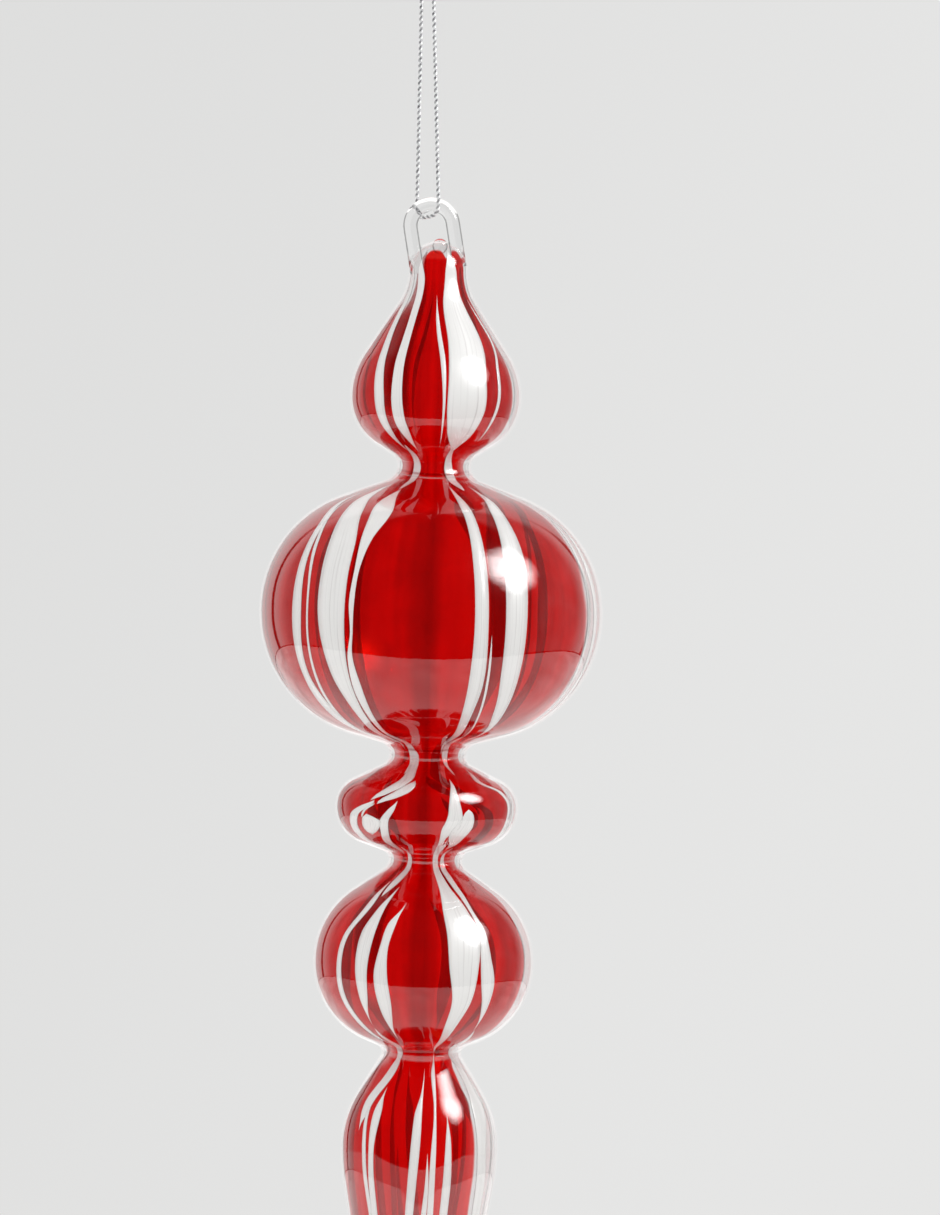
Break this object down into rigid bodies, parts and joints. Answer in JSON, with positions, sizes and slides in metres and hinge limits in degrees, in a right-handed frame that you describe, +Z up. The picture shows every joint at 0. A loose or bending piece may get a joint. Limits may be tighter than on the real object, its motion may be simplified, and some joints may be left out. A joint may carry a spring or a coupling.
{
  "type": "christmas ornament",
  "caption": "Blown-glass finial ornament with an onion, a globe, a disc, a ball and a long tapering spire, striped in red and white under a clear casing, on a loop of silver cord.",
  "frame": {"origin": "hanging point inside the cord loop, just under the knot", "axes": "+Z up along the glass axis, towards the cord; -Y towards the side from which the hole of the eye is seen"},
  "size_m": [0.0702, 0.0702, 0.3645],
  "materials": {
    "striped_glass": "clear glossy casing over red and white canes",
    "silver_cord": "twisted metallic thread"
  },
  "bodies": {
    "root": {"glass_body": "striped_glass", "hanging_cord": "silver_cord", "cord_knot": "silver_cord"}
  },
  "joints": []
}
